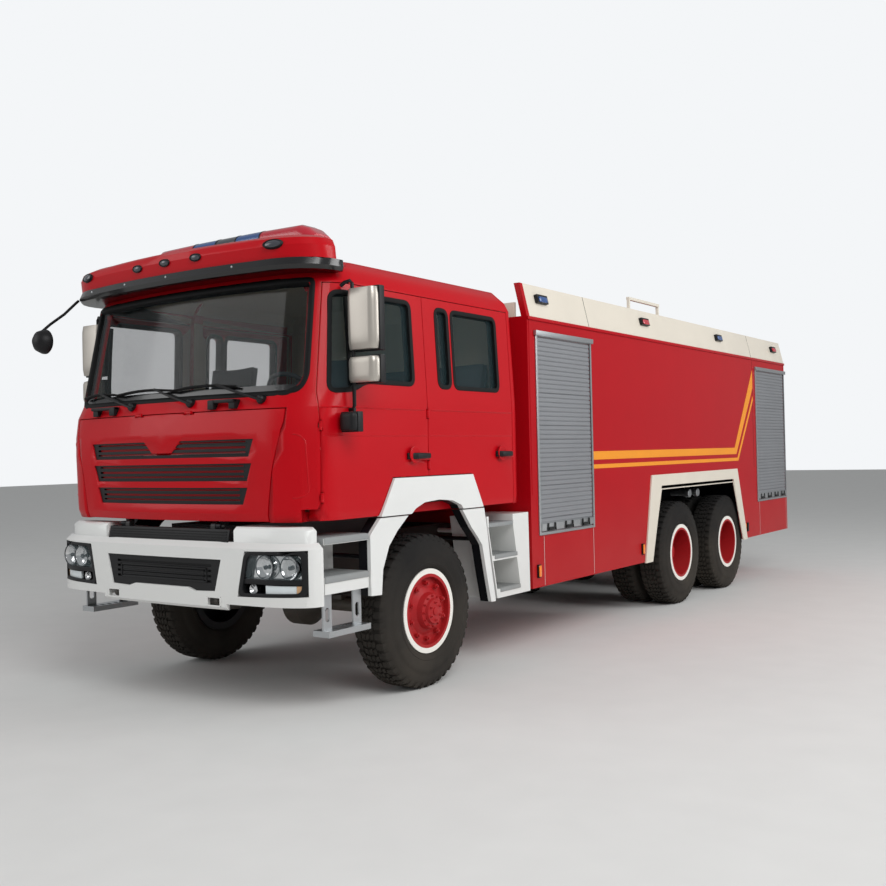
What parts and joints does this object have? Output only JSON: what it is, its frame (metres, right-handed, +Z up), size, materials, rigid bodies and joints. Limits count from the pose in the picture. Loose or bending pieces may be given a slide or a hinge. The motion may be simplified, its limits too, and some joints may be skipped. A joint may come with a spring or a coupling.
{
  "type": "airport fire truck",
  "caption": "Crew cab fire truck on a three-axle chassis with twin rear wheels, tilting cab, opening doors, roller shutter lockers and a roof monitor.",
  "frame": {"origin": "centre of the footprint on the floor under the truck", "axes": "the truck faces -Y, its left side is +X, +Z is up"},
  "size_m": [2.976, 9.7999, 3.244],
  "materials": {
    "cab_red": "glossy red paint",
    "body_red": "glossy deep red paint",
    "white_paint": "satin white paint",
    "cream_paint": "satin cream white paint",
    "chassis_black": "black chassis paint",
    "engine_iron": "rough cast iron",
    "black_plastic": "matte black",
    "tyre": "matte rubber",
    "wheel_red": "satin red paint",
    "step_aluminium": "satin",
    "shutter_aluminium": "satin slats",
    "clear_glass": "clear glass",
    "lamp_lens": "tinted lens",
    "headlamp": "clear lens over bright bowls",
    "seat_fabric": "woven grey",
    "dash_plastic": "grained grey"
  },
  "bodies": {
    "chassis": {"chassis_frame": "chassis_black", "engine_block": "engine_iron", "front_axle": "chassis_black", "rear_axles": "chassis_black", "leaf_springs": "chassis_black", "propshafts": "chassis_black", "bumper": "white_paint", "headlamps": "headlamp", "lower_grille": "black_plastic", "front_steps": "white_paint", "stirrup_steps": "step_aluminium", "front_arches": "white_paint", "rear_steps": "white_paint", "body_shell": "body_red", "parapets": "cream_paint", "roller_shutters": "shutter_aluminium", "arch_trims": "cream_paint", "rear_ladder": "step_aluminium", "tail_lamps": "lamp_lens", "rear_bumper": "white_paint", "side_lamps": "lamp_lens", "monitor_pedestal": "step_aluminium"},
    "cab": {"cab_shell": "cab_red", "windscreen": "clear_glass", "arch_tops": "white_paint", "sun_visor": "black_plastic", "roof_fascia": "cab_red", "light_bar": "lamp_lens", "forward_mirror": "black_plastic", "dashboard": "dash_plastic", "seats": "seat_fabric"},
    "service_flap": {"service_flap": "cab_red", "flap_grilles": "black_plastic"},
    "monitor_swivel": {"monitor_base": "wheel_red"},
    "monitor_barrel": {"monitor_barrel": "wheel_red"},
    "door_front_left": {"door_front_left": "cab_red", "glass_front_left": "clear_glass", "mirror_left": "black_plastic"},
    "door_rear_left": {"door_rear_left": "cab_red", "glass_rear_left": "clear_glass"},
    "knuckle_left": {"knuckle_left": "chassis_black"},
    "wheel_front_left": {"tyre_front_left": "tyre", "rim_front_left": "wheel_red"},
    "wheel_rear_1_left": {"tyres_rear_1_left": "tyre", "rims_rear_1_left": "wheel_red"},
    "wheel_rear_2_left": {"tyres_rear_2_left": "tyre", "rims_rear_2_left": "wheel_red"},
    "door_front_right": {"door_front_right": "cab_red", "glass_front_right": "clear_glass", "mirror_right": "black_plastic"},
    "door_rear_right": {"door_rear_right": "cab_red", "glass_rear_right": "clear_glass"},
    "knuckle_right": {"knuckle_right": "chassis_black"},
    "wheel_front_right": {"tyre_front_right": "tyre", "rim_front_right": "wheel_red"},
    "wheel_rear_1_right": {"tyres_rear_1_right": "tyre", "rims_rear_1_right": "wheel_red"},
    "wheel_rear_2_right": {"tyres_rear_2_right": "tyre", "rims_rear_2_right": "wheel_red"}
  },
  "joints": [
    {"name": "cab_tilt", "type": "hinge", "parent": "chassis", "child": "cab", "pos_m": [0, -4.64, 1.22], "axis": [1, 0, 0], "range_deg": [0, 45]},
    {"name": "flap_lift", "type": "hinge", "parent": "cab", "child": "service_flap", "pos_m": [0, -4.689, 1.963], "axis": [-1, 0, 0], "range_deg": [0, 80]},
    {"name": "monitor_turn", "type": "hinge", "parent": "chassis", "child": "monitor_swivel", "pos_m": [0, 3.66, 2.86], "axis": [0, 0, 1], "continuous": true},
    {"name": "monitor_lift", "type": "hinge", "parent": "monitor_swivel", "child": "monitor_barrel", "pos_m": [0, 3.66, 3.18], "axis": [-1, 0, 0], "range_deg": [-15, 75]},
    {"name": "door_front_left", "type": "hinge", "parent": "cab", "child": "door_front_left", "pos_m": [1.212, -4.473, 1.6], "axis": [0, 0, -1], "range_deg": [0, 70]},
    {"name": "door_rear_left", "type": "hinge", "parent": "cab", "child": "door_rear_left", "pos_m": [1.246, -3.385, 1.6], "axis": [0, 0, -1], "range_deg": [0, 75]},
    {"name": "steer_left", "type": "hinge", "parent": "chassis", "child": "knuckle_left", "pos_m": [0.8, -3.34, 0.545], "axis": [0, 0, 1], "range_deg": [-38, 38]},
    {"name": "wheel_front_left", "type": "hinge", "parent": "knuckle_left", "child": "wheel_front_left", "pos_m": [1.055, -3.34, 0.545], "axis": [1, 0, 0], "continuous": true},
    {"name": "wheel_rear_1_left", "type": "hinge", "parent": "chassis", "child": "wheel_rear_1_left", "pos_m": [1.075, 1.235, 0.545], "axis": [1, 0, 0], "continuous": true},
    {"name": "wheel_rear_2_left", "type": "hinge", "parent": "chassis", "child": "wheel_rear_2_left", "pos_m": [1.075, 2.635, 0.545], "axis": [1, 0, 0], "continuous": true},
    {"name": "door_front_right", "type": "hinge", "parent": "cab", "child": "door_front_right", "pos_m": [-1.212, -4.473, 1.6], "axis": [0, 0, 1], "range_deg": [0, 70]},
    {"name": "door_rear_right", "type": "hinge", "parent": "cab", "child": "door_rear_right", "pos_m": [-1.246, -3.385, 1.6], "axis": [0, 0, 1], "range_deg": [0, 75]},
    {"name": "steer_right", "type": "hinge", "parent": "chassis", "child": "knuckle_right", "pos_m": [-0.8, -3.34, 0.545], "axis": [0, 0, 1], "range_deg": [-38, 38]},
    {"name": "wheel_front_right", "type": "hinge", "parent": "knuckle_right", "child": "wheel_front_right", "pos_m": [-1.055, -3.34, 0.545], "axis": [1, 0, 0], "continuous": true},
    {"name": "wheel_rear_1_right", "type": "hinge", "parent": "chassis", "child": "wheel_rear_1_right", "pos_m": [-1.075, 1.235, 0.545], "axis": [1, 0, 0], "continuous": true},
    {"name": "wheel_rear_2_right", "type": "hinge", "parent": "chassis", "child": "wheel_rear_2_right", "pos_m": [-1.075, 2.635, 0.545], "axis": [1, 0, 0], "continuous": true}
  ],
  "couplings": [
    {"joint": "steer_right", "follows": "steer_left", "ratio": 1}
  ]
}
